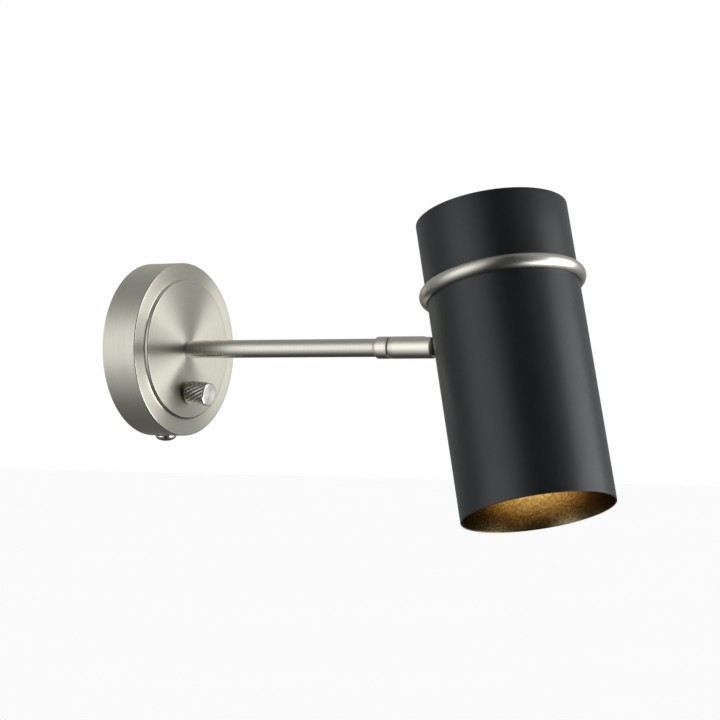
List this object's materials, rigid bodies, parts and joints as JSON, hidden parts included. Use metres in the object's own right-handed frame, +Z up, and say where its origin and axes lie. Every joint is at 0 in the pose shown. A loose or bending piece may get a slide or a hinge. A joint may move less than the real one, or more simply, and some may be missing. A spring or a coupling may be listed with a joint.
{
  "type": "wall sconce",
  "caption": "Wall sconce: round nickel plate with a dimmer knob, straight arm, turning ball joint and a tilting black cylinder shade with a ring.",
  "frame": {"origin": "centre of the wall plate's back, on the wall", "axes": "+Y into the wall, +Z up, +X to the right when facing the wall; the arm stands out along -Y"},
  "size_m": [0.1323, 0.3581, 0.2208],
  "materials": {
    "brushed_nickel": "satin, brushed round the axis",
    "knob_nickel": "diamond knurl with a satin face",
    "polished_screw": "polished",
    "zinc_steel": "zinc plated",
    "spring_steel": "drawn wire",
    "brass": "turned",
    "white_plastic": "moulded",
    "black_washer": "plain",
    "dark_moulding": "moulded",
    "ceramic": "glazed ceramic",
    "opal_glass": "opal",
    "black_enamel": "fine matt black outside, gold inside the shade",
    "brown_insulation": "plain",
    "blue_insulation": "plain",
    "green_insulation": "plain"
  },
  "bodies": {
    "wall_base": {"mounting_bracket": "zinc_steel", "ear_nut": "zinc_steel", "hook_tab": "zinc_steel", "wall_plate": "brushed_nickel", "side_screw": "polished_screw", "earth_screw": "brass", "earth_washer": "zinc_steel", "earth_tag": "zinc_steel", "terminal_block": "white_plastic", "terminal_barrels": "brass", "terminal_screws": "zinc_steel", "block_screw": "zinc_steel", "backing_washer": "zinc_steel", "lock_washer": "zinc_steel", "arm_nut": "brass", "arm_nipple": "brass", "arm_tube": "brushed_nickel", "joint_collar": "brushed_nickel", "swivel_bolt": "brass", "swivel_washer": "black_washer", "stop_pin": "zinc_steel", "dimmer_housing": "dark_moulding", "dimmer_cover": "zinc_steel", "dimmer_terminals": "brass", "dimmer_bushing": "brass", "dimmer_washer": "zinc_steel", "dimmer_nut": "brass", "supply_lead": "brown_insulation", "switched_lead": "brown_insulation", "neutral_lead": "blue_insulation", "earth_lead": "green_insulation"},
    "dimmer_knob": {"dimmer_shaft": "zinc_steel", "knob": "knob_nickel", "knob_grub_screw": "zinc_steel"},
    "barrel": {"swivel_barrel": "brushed_nickel", "spring_washer": "zinc_steel", "ball_spring": "spring_steel", "ball_cup": "brass", "swivel_leads": "brown_insulation"},
    "lamp_head": {"ball_stem": "brushed_nickel", "saddle_washer": "zinc_steel", "stem_nut": "brass", "holder_bracket": "zinc_steel", "holder_nipple": "brass", "holder_nut": "brass", "holder_cap": "dark_moulding", "holder_body": "dark_moulding", "holder_insert": "ceramic", "screw_shell": "brass", "centre_contact": "brass", "bulb_cap": "zinc_steel", "bulb_contact": "brass", "bulb_globe": "opal_glass", "shade_tube": "black_enamel", "shade_cap": "black_enamel", "shade_ring": "brushed_nickel", "shade_leads": "brown_insulation", "shade_earth_lead": "green_insulation", "shade_earth_tag": "zinc_steel"}
  },
  "joints": [
    {"name": "knob_turn", "type": "hinge", "parent": "wall_base", "child": "dimmer_knob", "pos_m": [-0.001, -0.02969, -0.0296], "axis": [0, 0.9945, 0.1045], "range_deg": [-200, 90]},
    {"name": "swivel", "type": "hinge", "parent": "wall_base", "child": "barrel", "pos_m": [0, -0.2, 0], "axis": [0, 1, 0], "range_deg": [-180.3, 159.7]},
    {"name": "shade_tilt", "type": "hinge", "parent": "barrel", "child": "lamp_head", "pos_m": [0, -0.2211, 0], "axis": [-0.9839, 0, 0.1788], "range_deg": [-15, 63]}
  ]
}
